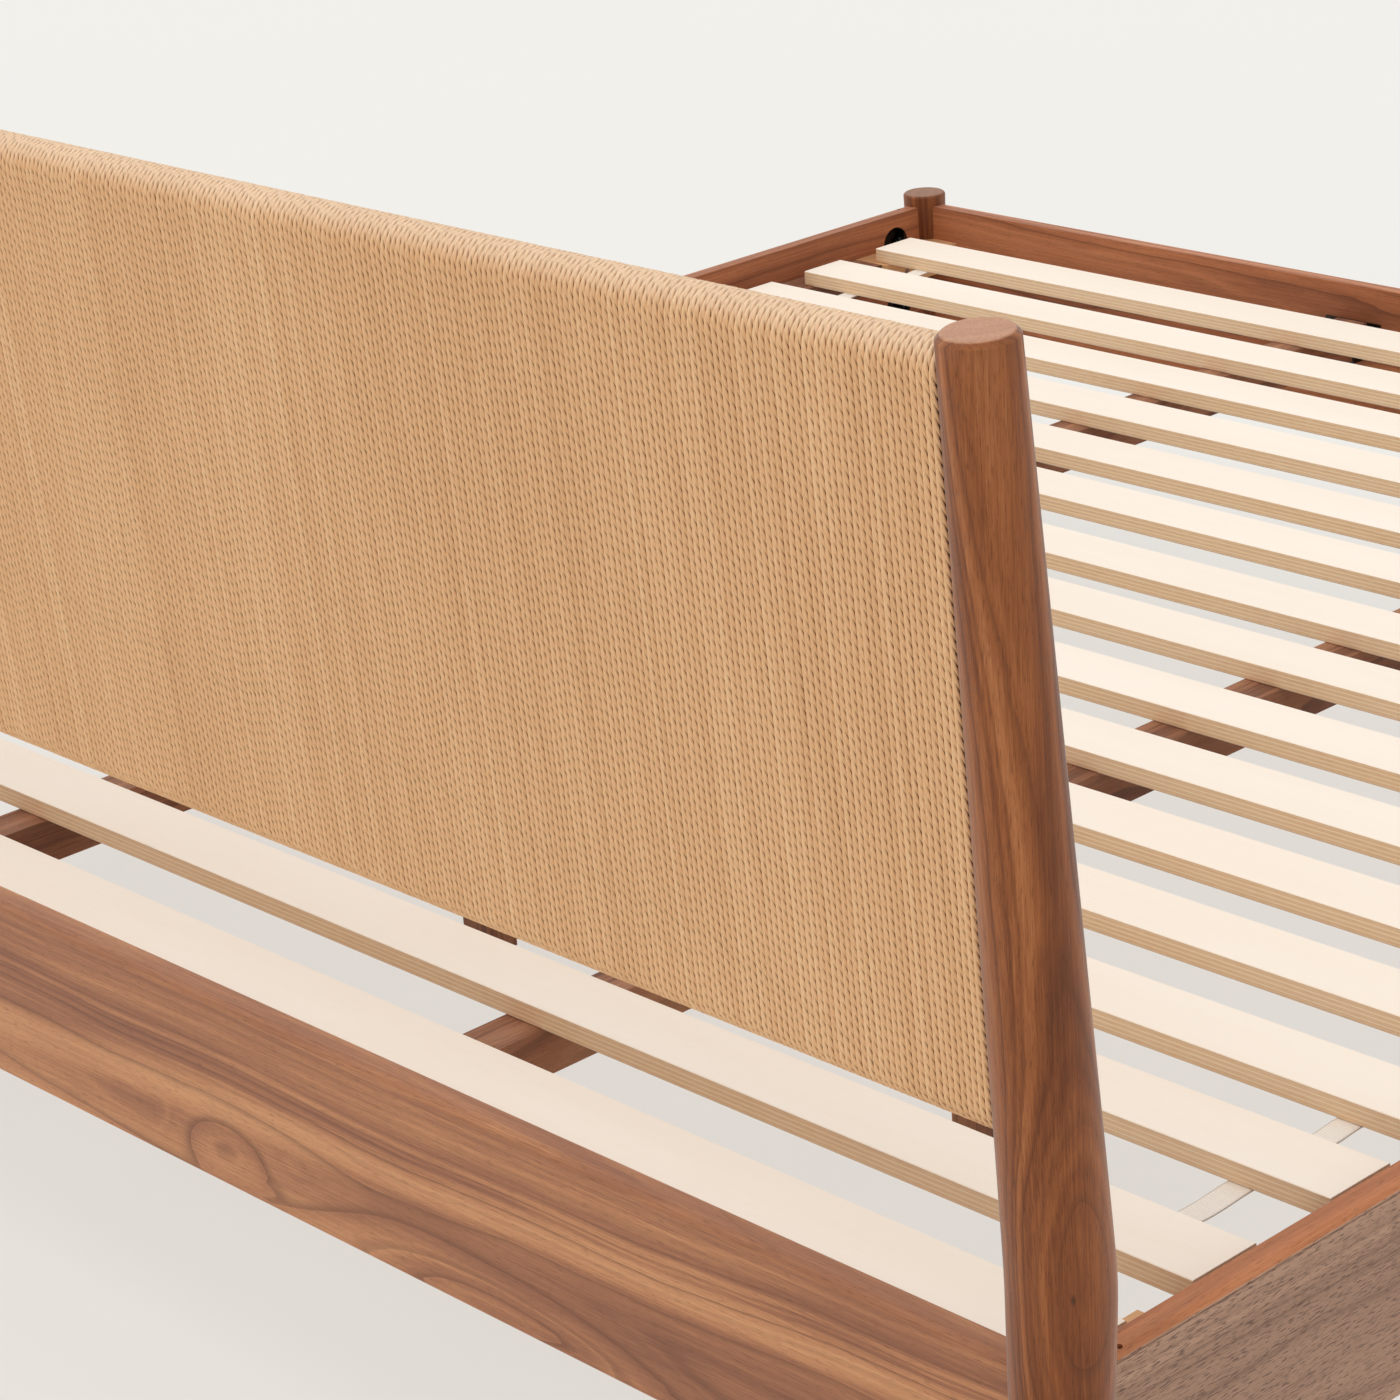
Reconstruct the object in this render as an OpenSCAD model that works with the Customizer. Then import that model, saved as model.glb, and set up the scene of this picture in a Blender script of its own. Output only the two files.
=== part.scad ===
/* [Mattress] */
// Width of the mattress that the bed takes
mattress_w = 2000; // [1400:10:2000]
// Length of the mattress
mattress_l = 2000; // [1900:10:2200]
// Room between the mattress and the rail on each side
mattress_gap = 15; // [8:1:25]

/* [Heights] */
// Top of the slats above the floor
slat_top_h = 335; // [300:1:400]
// Rise of the rails above the slats
rail_rise = 25; // [15:1:60]
// Height of the head posts above the floor
post_h = 1029; // [850:1:1200]
// Height of the kink in the head posts above the floor
kink_h = 422; // [400:1:460]

/* [Rails] */
// Thickness of the four rails
rail_t = 22; // [20:1:28]
// Height of the four rails
rail_h = 160; // [140:1:190]
// Rounding of the rails' upper outer edges
rail_round = 7; // [2:0.5:9]
// Rounding of the rails' upper inner edges
rail_inner_round = 1.5; // [1:0.5:9]
// Rounding of the rails' lower edges
rail_ease = 2; // [1:0.5:4]

/* [Head posts] */
// Largest diameter of a head post, at its kink
post_d = 69; // [60:1:80]
// Diameter of a head post at its top
post_top_d = 48.5; // [44:0.5:56]
// Diameter of a head post at the floor
post_foot_d = 49; // [40:1:56]
// Lean of the upper post away from the mattress, in degrees
post_lean = 3.9; // [1:0.1:8]
// Kick of the lower post towards the wall, in degrees
post_kick = 2.5; // [0:0.1:4]
// Rounding of the posts' upper rims
rim_round = 4; // [2:0.5:6]

/* [Foot legs] */
// Diameter of a foot leg at its top
leg_top_d = 54; // [44:1:60]
// Diameter of a foot leg at the floor
leg_foot_d = 38; // [30:1:44]
// Height that a foot leg stands above the rails
leg_proud = 14; // [4:1:25]
// Thickness of the glide under each post and leg
glide_t = 4; // [2:0.5:8]
// Margin of a glide inside the end of its leg
glide_margin = 4; // [2:0.5:8]

/* [Headboard] */
// Height of the panel's lower edge above the slats
panel_rise = 185; // [120:1:260]
// Distance of the panel's upper edge below the post's top
panel_drop = 7; // [4:1:40]
// Thickness of the panel over the cords
panel_t = 38; // [30:1:44]
// Thickness of the cord layer
cord_t = 4.5; // [3:0.5:6]
// Height of the panel's inner rails
panel_rail_h = 70; // [50:1:90]
// Width of the panel's inner stiles
panel_stile_w = 60; // [40:1:80]
// Distance between the panel's inner stiles
panel_stile_gap = 560; // [400:10:620]

/* [Slats] */
// Width of a slat
slat_w = 65; // [50:1:80]
// Thickness of a slat
slat_t = 17.5; // [14:0.5:22]
// Room between a slat's end and the side rail
slat_end_gap = 30; // [15:1:35]
// Room between the foot rail and the first slat
first_slat_gap = 59; // [35:1:70]
// Room between the last slat and the head rail
last_slat_gap = 29; // [10:1:50]
// Rounding of the slats' long edges
slat_ease = 1.5; // [0.5:0.5:3]

/* [Straps] */
// Width of a webbing strap
strap_w = 22; // [16:1:30]
// Thickness of a webbing strap
strap_t = 1.2; // [0.8:0.1:2]
// Distance of a strap's middle from the side rail
strap_inset = 108; // [90:1:140]
// Length of a strap beyond the last slat's middle
strap_tail = 24; // [10:1:30]

/* [Bearers] */
// Width of the bearer along each side rail
bearer_w = 46; // [42:1:50]
// Height of the bearers and corner blocks
bearer_h = 32; // [26:1:40]
// Width of a corner block
block_w = 53; // [46:1:60]
// Length of a corner block
block_l = 131; // [115:1:160]

/* [Centre supports] */
// Distance between the two centre beams
beam_gap = 654; // [500:2:760]
// Width of a centre beam
beam_w = 42; // [36:1:60]
// Height of a centre beam
beam_h = 40; // [30:1:60]
// Distance of the support legs from the middle of the bed's length
support_reach = 357; // [250:1:500]
// Side of a square support leg
support_w = 36; // [32:1:42]
// Thickness of the steel in a beam hanger
hanger_t = 2.5; // [1.5:0.5:4]

/* [Levelling feet] */
// Diameter of a levelling foot's pad
pad_d = 32; // [24:1:34]
// Height of a levelling foot's pad
pad_h = 9; // [6:1:14]
// Diameter of a levelling foot's stud
stud_d = 8; // [6:1:10]
// Length of a levelling foot's stud above its pad
stud_l = 38; // [30:1:50]

/* [Fastenings] */
// Diameter of the access holes in the side rails
access_d = 44; // [36:1:46]
// Depth of the access holes
access_depth = 16; // [15:0.5:17]
// Distance of the access holes from the rail's end
access_inset = 57; // [50:1:60]
// Distance of the upper access hole below the rail's top
access_drop = 39; // [36:1:44]
// Height between the two access holes of a corner
access_pitch = 84; // [70:1:90]
// Diameter of the corner bolts
bolt_d = 8; // [6:1:10]
// Diameter of the dowels
dowel_d = 10; // [8:1:12]
// Length of the dowels
dowel_l = 50; // [40:1:60]
// Diameter of the wood screws
screw_d = 4; // [3:0.5:5]
// Diameter of the locking screws in the rails' tops
lock_d = 5; // [4:0.5:6]

/* [Hidden] */

$fn = 64;
// Running clearance of a fastener in its hole
fit = 0.1;
// Clearance between a shaped end and the round post that it meets
scribe = 0.3;
// Overlap that keeps a cut clear of the face that it opens
over = 1;

// Colours of the materials
walnut = [0.50, 0.33, 0.23];
dark_walnut = [0.36, 0.23, 0.16];
birch = [0.93, 0.85, 0.74];
cord_colour = [0.83, 0.67, 0.50];
webbing = [0.93, 0.91, 0.87];
steel = [0.62, 0.62, 0.64];
black = [0.12, 0.12, 0.12];

// Inner size of the frame, and half of it
inner_w = mattress_w + 2 * mattress_gap;
inner_l = mattress_l + 2 * mattress_gap;
half_w = inner_w / 2;
half_l = inner_l / 2;

// Post and leg axes lie on the rails' middle planes
axis_x = half_w + rail_t / 2;
axis_y = half_l + rail_t / 2;

// Levels
rail_top = slat_top_h + rail_rise;
rail_low = rail_top - rail_h;
slat_low = slat_top_h - slat_t;
beam_low = slat_low - beam_h;
leg_h = rail_top + leg_proud;
panel_low = slat_top_h + panel_rise;
panel_top = post_h - panel_drop;
panel_mid = (panel_low + panel_top) / 2;

// Length of the upper post along its own axis, and its rim's reach behind the kink
upper_l = (post_h - kink_h) / cos(post_lean);
back_reach = axis_y + (post_top_d / 2 - rim_round) * cos(post_lean)
    + (upper_l - rim_round) * sin(post_lean) + rim_round;
foot_reach = axis_y + leg_top_d / 2;
// Middle of the whole bed's length, which is the origin
mid_y = (back_reach - foot_reach) / 2;

// Slats: even places, and the small shift by which each one was laid
slat_count = 16;
slat_l = inner_w - 2 * slat_end_gap;
slat_pitch = (inner_l - first_slat_gap - last_slat_gap - slat_w) / (slat_count - 1);
slat_shift = [0, 3, -1, -6, -7, -17, -10, -18, -15, -19, -19, -22, -18, -23, -5, 0];
function slat_y(i) = -half_l + first_slat_gap + slat_w / 2 + i * slat_pitch + slat_shift[i];

// Corner bolts: their heights, and where they start and end along a side rail
bolt_levels = [rail_top - access_drop, rail_top - access_drop - access_pitch];
bolt_x = half_w + access_depth / 2;
access_y = half_l - access_inset;
washer_face = access_y + 0.72 * access_d / 2;
nut_h = 6.5;
nut_d = 1.8 * bolt_d;
bolt_from = washer_face - nut_h - 3;
bolt_to = axis_y + 6;

// Dowels: heights in the head and foot rails, and distances from the panel's edges
dowel_rise = 20;
rail_dowel_z = [for (z = bolt_levels) z + dowel_rise];
panel_dowel_in = [18, 52];
dowel_seat = 4;

// Lock screws in the tops of the side rails
lock_l = 22;
lock_sink = 3;
lock_out = 4;
lock_inset = 35;

// Bearers end where the corner blocks begin
bearer_l = inner_l - 2 * block_l;
bearer_screw_n = 8;
bearer_screw_end = 60;
block_screw_in = [14, 38, 106];
notch_room = 2;
bite = 14;
head_d = 2 * screw_d;
head_h = screw_d * 0.7;

// Beams, their hangers and their support legs
beam_x = beam_gap / 2;
hanger_seat = 30;
hanger_wing = 16;
leg_bolt_d = 8;
leg_bolt_l = 80;
leg_bolt_head_d = 18;
leg_bolt_head_h = 4;
insert_l = 15;
insert_wall = 2;
insert_fit = 0.05;
stud_room = 3;
pad_ease = 2;

// Glides
glide_pin_d = 5;
glide_pin_l = 16;
post_foot_y = axis_y + (kink_h - glide_t) * tan(post_kick);

// Straps and their staples
strap_x = half_w - strap_inset;
staple_w = 10;
staple_t = 1;
staple_bite = 8;
staple_fit = 0.1;

// Panel in the leaned frame of the upper posts, whose origin is the kink
core_t = panel_t - 2 * cord_t - 2 * fit;
panel_from = (panel_low - kink_h) / cos(post_lean);
panel_to = (panel_top - kink_h) / cos(post_lean);
core_from = panel_from + cord_t + fit;
core_to = panel_to - cord_t - fit;
stile_n = 4;

// Moves the bed so that the middle of its box is the origin
module placed() {
    translate([0, -mid_y, 0]) children();
}

// The leaned frame: from the kink up along the posts' axes
module leaned() {
    placed() translate([0, axis_y, kink_h]) rotate([-post_lean, 0, 0]) children();
}

// Side of the bed: -1 is the left and 1 is the right
module side(s) {
    mirror([s < 0 ? 1 : 0, 0, 0]) children();
}

// End of the bed: -1 is the foot and 1 is the head
module end(e) {
    mirror([0, e < 0 ? 1 : 0, 0]) children();
}

// Round rod along X or Y, from its middle
module rod_x(d, l) {
    rotate([0, 90, 0]) cylinder(d = d, h = l, center = true);
}

module rod_y(d, l) {
    rotate([90, 0, 0]) cylinder(d = d, h = l, center = true);
}

// Section of a board that stands on z = 0, rounded by r_up, or on its low side by r_in, and by r_low below
module board_section(t, h, r_up, r_in, r_low) {
    translate([t / 2 - r_up, h - r_up]) circle(r = r_up);
    translate([r_in - t / 2, h - r_in]) circle(r = r_in);
    for (s = [-1, 1]) translate([s * (t / 2 - r_low), r_low]) circle(r = r_low);
    translate([-t / 2, r_low]) square([t - r_up, h - r_in - r_low]);
    translate([r_in - t / 2, r_low]) square([t - r_in, h - r_up - r_low]);
    translate([r_in - t / 2, r_low]) square([t - r_in - r_up, h - r_low]);
    translate([r_low - t / 2, 0]) square([t - 2 * r_low, 2 * r_low]);
}

// Board of that section along X or Y, with its low side towards -Y or -X
module board_x(t, h, l, r_up, r_in, r_low) {
    rotate([90, 0, 90]) linear_extrude(l, center = true) board_section(t, h, r_up, r_in, r_low);
}

module board_y(t, h, l, r_up, r_in, r_low) {
    rotate([90, 0, 0]) linear_extrude(l, center = true) board_section(t, h, r_up, r_in, r_low);
}

// Plain board from its low corner to its high one
module block(low, high) {
    translate(low) cube(high - low);
}

// Turned, tapered rod with a rounded rim at its top
module turned(d_low, d_up, h, r) {
    rotate_extrude() {
        polygon([[0, 0], [d_low / 2, 0], [d_up / 2, h - r], [d_up / 2 - r, h], [0, h]]);
        translate([d_up / 2 - r, h - r]) intersection() {
            circle(r = r);
            square(r);
        }
    }
}

// Right head post before its bores, grown by a clearance
module post_body(grow) {
    translate([axis_x, axis_y, kink_h]) {
        rotate([-post_lean, 0, 0]) turned(post_d + 2 * grow, post_top_d + 2 * grow, upper_l, rim_round);
        sphere(d = post_d + 2 * grow);
        rotate([180 + post_kick, 0, 0])
            cylinder(d1 = post_d + 2 * grow, d2 = post_foot_d + 2 * grow, h = kink_h / cos(post_kick));
    }
}

// Right foot leg before its bores, grown by a clearance
module leg_body(grow) {
    translate([axis_x, -axis_y, glide_t])
        turned(leg_foot_d + 2 * grow, leg_top_d + 2 * grow, leg_h - glide_t, rim_round);
}

// Corner bolts of the right head corner, grown by a clearance
module bolt_rods(grow) {
    for (z = bolt_levels)
        translate([bolt_x, (bolt_from + bolt_to) / 2, z]) rod_y(bolt_d + 2 * grow, bolt_to - bolt_from + 2 * grow);
}

// Dowels between an end rail and its right post: reach is the post's radius there
module rail_dowel_rods(reach, grow) {
    for (z = rail_dowel_z)
        translate([axis_x - reach + dowel_seat, axis_y, z]) rod_x(dowel_d + 2 * grow, dowel_l + 2 * grow);
}

// Dowels between the panel's rails and the right post, in the leaned frame
module panel_dowel_rods(grow) {
    for (d = panel_dowel_in) {
        translate([axis_x - post_d / 2 + 2 * dowel_seat, 0, core_from + d])
            rod_x(dowel_d + 2 * grow, dowel_l + 2 * grow);
        translate([axis_x - post_top_d / 2, 0, core_to - d])
            rod_x(dowel_d + 2 * grow, dowel_l + 2 * grow);
    }
}

// Pin of the glide under a right post or leg
module glide_pin(y, grow) {
    translate([axis_x, y, 0]) cylinder(d = glide_pin_d + 2 * grow, h = glide_t + glide_pin_l + grow);
}

// Lock screw of the right head corner
module lock_rod(grow) {
    translate([axis_x + lock_out, half_l - lock_inset, rail_top - lock_sink - lock_l])
        cylinder(d = lock_d + 2 * grow, h = lock_l + (grow > 0 ? rail_round : 0));
}

// Countersunk screw that points along +Z from its head's face
module screw(d, l, grow) {
    cylinder(d = d + 2 * grow, h = l + grow);
    cylinder(d1 = head_d + 2 * grow, d2 = d + 2 * grow, h = head_h);
}

// Screws of the right bearer, pointing outwards into the side rail
module bearer_screw_rods(grow) {
    for (i = [0 : bearer_screw_n - 1])
        translate([half_w - bearer_w,
            (bearer_l / 2 - bearer_screw_end) * (2 * i / (bearer_screw_n - 1) - 1), slat_low - bearer_h / 2])
            rotate([0, 90, 0]) screw(screw_d, bearer_w + bite, grow);
}

// Screws of the right head corner block
module block_screw_rods(grow) {
    for (d = block_screw_in)
        translate([half_w - block_w, half_l - block_l + d, slat_low - bearer_h / 2])
            rotate([0, 90, 0]) screw(screw_d, block_w + bite, grow);
}

// Screws of one beam hanger at the head, pointing into the rail
module hanger_screw_rods(grow) {
    for (s = [-1, 1])
        translate([beam_x + s * (beam_w / 2 + hanger_t + hanger_wing / 2), half_l - hanger_t, beam_low + beam_h / 2])
            rotate([-90, 0, 0]) screw(screw_d, hanger_t + bite, grow);
}

// Bolt from a beam's top down into its support leg
module support_bolt(grow) {
    translate([beam_x, support_reach, 0]) {
        translate([0, 0, slat_low - leg_bolt_l]) cylinder(d = leg_bolt_d + 2 * grow, h = leg_bolt_l);
        translate([0, 0, slat_low - leg_bolt_head_h])
            cylinder(d = leg_bolt_head_d + 2 * grow, h = leg_bolt_head_h);
    }
}

// Staples that hold the right strap to slat number i
module staple(i, grow) {
    translate([strap_x, slat_y(i), slat_low - strap_t]) {
        for (s = [-1, 1])
            translate([s * (staple_w - staple_t) / 2, 0, 0]) block(
                [-staple_t / 2 - grow, -staple_t / 2 - grow, -grow],
                [staple_t / 2 + grow, staple_t / 2 + grow, staple_bite + grow]);
        block([-staple_w / 2 - grow, -staple_t / 2 - grow, -staple_t - grow],
            [staple_w / 2 + grow, staple_t / 2 + grow, grow > 0 ? -grow : 0]);
    }
}

module head_post(s) {
    color(walnut) placed() side(s) difference() {
        post_body(0);
        translate([axis_x, axis_y, glide_t - post_d]) cylinder(r = 2 * post_d, h = post_d);
        bolt_rods(fit);
        rail_dowel_rods(post_d / 2, fit);
        translate([0, axis_y, kink_h]) rotate([-post_lean, 0, 0]) panel_dowel_rods(fit);
        glide_pin(post_foot_y, fit);
    }
}

module foot_leg(s) {
    color(walnut) placed() side(s) difference() {
        leg_body(0);
        end(-1) bolt_rods(fit);
        end(-1) rail_dowel_rods(leg_top_d / 2, fit);
        glide_pin(-axis_y, fit);
    }
}

module head_rail() {
    color(walnut) placed() difference() {
        translate([0, axis_y, rail_low])
            board_x(rail_t, rail_h, 2 * axis_x, rail_round, rail_inner_round, rail_ease);
        for (s = [-1, 1]) side(s) {
            post_body(scribe);
            rail_dowel_rods(post_d / 2, fit);
            hanger_screw_rods(fit);
        }
    }
}

module foot_rail() {
    color(walnut) placed() difference() {
        end(-1) translate([0, axis_y, rail_low])
            board_x(rail_t, rail_h, 2 * axis_x, rail_round, rail_inner_round, rail_ease);
        for (s = [-1, 1]) side(s) {
            leg_body(scribe);
            end(-1) rail_dowel_rods(leg_top_d / 2, fit);
            end(-1) hanger_screw_rods(fit);
        }
    }
}

module side_rail(s) {
    color(walnut) placed() side(s) difference() {
        translate([axis_x, 0, rail_low])
            board_y(rail_t, rail_h, 2 * axis_y, rail_round, rail_inner_round, rail_ease);
        post_body(scribe);
        leg_body(scribe);
        bearer_screw_rods(fit);
        for (e = [-1, 1]) end(e) {
            bolt_rods(fit);
            block_screw_rods(fit);
            lock_rod(fit);
            for (z = bolt_levels)
                translate([half_w + (access_depth - over) / 2, access_y, z]) rod_x(access_d, access_depth + over);
        }
    }
}

// Rail inside the panel, standing on its square edge, with its other edge fully round
module core_section() {
    translate([0, panel_rail_h - core_t / 2]) circle(d = core_t);
    translate([-core_t / 2, 0]) square([core_t, panel_rail_h - core_t / 2]);
}

module core_rail() {
    rotate([90, 0, 90]) linear_extrude(2 * axis_x, center = true) core_section();
}

module upper_posts(grow) {
    for (s = [-1, 1]) side(s) translate([axis_x, 0, 0])
        turned(post_d + 2 * grow, post_top_d + 2 * grow, upper_l, rim_round);
}

module headboard_top_rail() {
    color(dark_walnut) leaned() difference() {
        translate([0, 0, core_to - panel_rail_h]) core_rail();
        upper_posts(scribe);
        for (s = [-1, 1]) side(s) panel_dowel_rods(fit);
    }
}

module headboard_bottom_rail() {
    color(dark_walnut) leaned() difference() {
        translate([0, 0, core_from + panel_rail_h]) mirror([0, 0, 1]) core_rail();
        upper_posts(scribe);
        for (s = [-1, 1]) side(s) panel_dowel_rods(fit);
    }
}

module headboard_stiles() {
    color(dark_walnut) leaned() for (i = [0 : stile_n - 1])
        translate([(i - (stile_n - 1) / 2) * panel_stile_gap, 0, 0]) block(
            [-panel_stile_w / 2, -core_t / 2, core_from + panel_rail_h],
            [panel_stile_w / 2, core_t / 2, core_to - panel_rail_h]);
}

// Section of the panel, round at both ends, from one height to the other
module panel_section(t, from, to) {
    translate([0, from + t / 2]) circle(d = t);
    translate([0, to - t / 2]) circle(d = t);
    translate([-t / 2, from + t / 2]) square([t, to - from - t]);
}

module cord_panel() {
    color(cord_colour) leaned() difference() {
        rotate([90, 0, 90]) linear_extrude(2 * axis_x, center = true) difference() {
            panel_section(panel_t, panel_from, panel_to);
            panel_section(core_t + 2 * fit, core_from - fit, core_to + fit);
        }
        upper_posts(scribe);
    }
}

module bearer(s) {
    color(dark_walnut) placed() side(s) difference() {
        block([half_w - bearer_w, -bearer_l / 2, slat_low - bearer_h], [half_w, bearer_l / 2, slat_low]);
        bearer_screw_rods(fit);
    }
}

module corner_block(e) {
    difference() {
        end(e) block([half_w - block_w, half_l - block_l, slat_low - bearer_h], [half_w, half_l, slat_low]);
        post_body(scribe);
        leg_body(scribe);
        end(e) block_screw_rods(fit);
        end(e) translate([half_w - block_w / 2, access_y, bolt_levels[0]])
            rod_x(access_d + 2 * notch_room, block_w + 2 * over);
    }
}

module corner_blocks(e) {
    color(birch) placed() for (s = [-1, 1]) side(s) corner_block(e);
}

module centre_beam(s) {
    color(dark_walnut) placed() side(s) difference() {
        block([beam_x - beam_w / 2, hanger_t - half_l, beam_low], [beam_x + beam_w / 2, half_l - hanger_t, slat_low]);
        for (e = [-1, 1]) end(e) support_bolt(fit);
    }
}

module beam_hanger() {
    wide = beam_w / 2 + hanger_t;
    translate([beam_x, 0, 0]) {
        block([-wide - hanger_wing, half_l - hanger_t, beam_low - hanger_t], [wide + hanger_wing, half_l, slat_low]);
        block([-wide, half_l - hanger_seat, beam_low - hanger_t], [wide, half_l, beam_low]);
        for (s = [-1, 1]) side(s)
            block([beam_w / 2, half_l - hanger_seat, beam_low - hanger_t], [wide, half_l, slat_low - hanger_t]);
    }
}

module beam_hangers() {
    color(steel) placed() for (s = [-1, 1], e = [-1, 1]) side(s) end(e) difference() {
        beam_hanger();
        hanger_screw_rods(fit);
    }
}

module support_leg(s, e) {
    color(dark_walnut) placed() side(s) end(e) difference() {
        block([beam_x - support_w / 2, support_reach - support_w / 2, pad_h],
            [beam_x + support_w / 2, support_reach + support_w / 2, beam_low]);
        support_bolt(fit);
        translate([beam_x, support_reach, pad_h - over]) {
            cylinder(d = stud_d + 2 * insert_wall + 2 * fit, h = insert_l + over);
            cylinder(d = stud_d + 1, h = stud_l + stud_room + over);
        }
    }
}

module levelling_foot(s, e) {
    color(black) placed() side(s) end(e) translate([beam_x, support_reach, 0]) {
        cylinder(d1 = pad_d - 2 * pad_ease, d2 = pad_d, h = pad_ease);
        translate([0, 0, pad_ease]) cylinder(d = pad_d, h = pad_h - pad_ease);
        cylinder(d = stud_d, h = pad_h + stud_l);
    }
}

module threaded_inserts() {
    color(steel) placed() for (s = [-1, 1], e = [-1, 1]) side(s) end(e)
        translate([beam_x, support_reach, pad_h]) difference() {
            cylinder(d = stud_d + 2 * insert_wall, h = insert_l);
            translate([0, 0, -over]) cylinder(d = stud_d + 2 * insert_fit, h = insert_l + 2 * over);
        }
}

module leg_glide(y, d) {
    translate([axis_x, y, 0]) cylinder(d = d - 2 * glide_margin, h = glide_t);
    glide_pin(y, 0);
}

module leg_glides() {
    color(black) placed() for (s = [-1, 1]) side(s) {
        leg_glide(post_foot_y, post_foot_d);
        leg_glide(-axis_y, leg_foot_d);
    }
}

module slat(i) {
    color(birch) placed() difference() {
        translate([0, slat_y(i), slat_low]) board_x(slat_w, slat_t, slat_l, slat_ease, slat_ease, slat_ease);
        for (s = [-1, 1]) side(s) staple(i, staple_fit);
    }
}

module strap(s) {
    color(webbing) placed() side(s) difference() {
        block([strap_x - strap_w / 2, slat_y(0) - strap_tail, slat_low - strap_t],
            [strap_x + strap_w / 2, slat_y(slat_count - 1) + strap_tail, slat_low]);
        for (i = [0 : slat_count - 1]) staple(i, staple_fit);
    }
}

module strap_staples() {
    color(steel) placed() for (s = [-1, 1], i = [0 : slat_count - 1]) side(s) staple(i, 0);
}

module corner_bolts() {
    color(steel) placed() for (s = [-1, 1], e = [-1, 1]) side(s) end(e) bolt_rods(0);
}

// Half-moon washers that lie in the curve of the access holes
module corner_washers() {
    color(steel) placed() for (s = [-1, 1], e = [-1, 1]) side(s) end(e) difference() {
        for (z = bolt_levels) intersection() {
            translate([bolt_x, access_y, z]) rod_x(access_d - 2 * fit, access_depth - 2 * fit);
            block([half_w, washer_face, z - access_d], [half_w + rail_t, half_l, z + access_d]);
        }
        bolt_rods(fit);
    }
}

module corner_nuts() {
    color(steel) placed() for (s = [-1, 1], e = [-1, 1], z = bolt_levels) side(s) end(e)
        translate([bolt_x, washer_face - nut_h / 2, z]) difference() {
            rotate([90, 0, 0]) cylinder(d = nut_d, h = nut_h, center = true, $fn = 6);
            rod_y(bolt_d + 2 * insert_fit, nut_h + 2 * over);
        }
}

module rail_dowels() {
    color(birch) placed() for (s = [-1, 1]) side(s) {
        rail_dowel_rods(post_d / 2, 0);
        end(-1) rail_dowel_rods(leg_top_d / 2, 0);
    }
}

module headboard_dowels() {
    color(birch) leaned() for (s = [-1, 1]) side(s) panel_dowel_rods(0);
}

module bearer_screws() {
    color(steel) placed() for (s = [-1, 1]) side(s) {
        bearer_screw_rods(0);
        for (e = [-1, 1]) end(e) block_screw_rods(0);
    }
}

module hanger_screws() {
    color(steel) placed() for (s = [-1, 1], e = [-1, 1]) side(s) end(e) hanger_screw_rods(0);
}

module support_bolts() {
    color(steel) placed() for (s = [-1, 1], e = [-1, 1]) side(s) end(e) support_bolt(0);
}

module lock_screws() {
    color(steel) placed() for (s = [-1, 1], e = [-1, 1]) side(s) end(e) lock_rod(0);
}

head_post(-1);  // head_post_left
head_post(1);  // head_post_right
foot_leg(-1);  // foot_leg_left
foot_leg(1);  // foot_leg_right
head_rail();
foot_rail();
side_rail(-1);  // side_rail_left
side_rail(1);  // side_rail_right
headboard_top_rail();
headboard_bottom_rail();
headboard_stiles();
cord_panel();
bearer(-1);  // bearer_left
bearer(1);  // bearer_right
corner_blocks(1);  // corner_blocks_head
corner_blocks(-1);  // corner_blocks_foot
centre_beam(-1);  // centre_beam_left
centre_beam(1);  // centre_beam_right
beam_hangers();
support_leg(-1, 1);  // support_leg_head_left
support_leg(1, 1);  // support_leg_head_right
support_leg(-1, -1);  // support_leg_foot_left
support_leg(1, -1);  // support_leg_foot_right
levelling_foot(-1, 1);  // levelling_foot_head_left
levelling_foot(1, 1);  // levelling_foot_head_right
levelling_foot(-1, -1);  // levelling_foot_foot_left
levelling_foot(1, -1);  // levelling_foot_foot_right
threaded_inserts();
leg_glides();
slat(0);  // slat_01
slat(1);  // slat_02
slat(2);  // slat_03
slat(3);  // slat_04
slat(4);  // slat_05
slat(5);  // slat_06
slat(6);  // slat_07
slat(7);  // slat_08
slat(8);  // slat_09
slat(9);  // slat_10
slat(10);  // slat_11
slat(11);  // slat_12
slat(12);  // slat_13
slat(13);  // slat_14
slat(14);  // slat_15
slat(15);  // slat_16
strap(-1);  // strap_left
strap(1);  // strap_right
strap_staples();
corner_bolts();
corner_washers();
corner_nuts();
rail_dowels();
headboard_dowels();
bearer_screws();
hanger_screws();
support_bolts();
lock_screws();
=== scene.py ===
import math

import bmesh
import bpy
import numpy as np
from mathutils import Matrix, Vector


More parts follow.
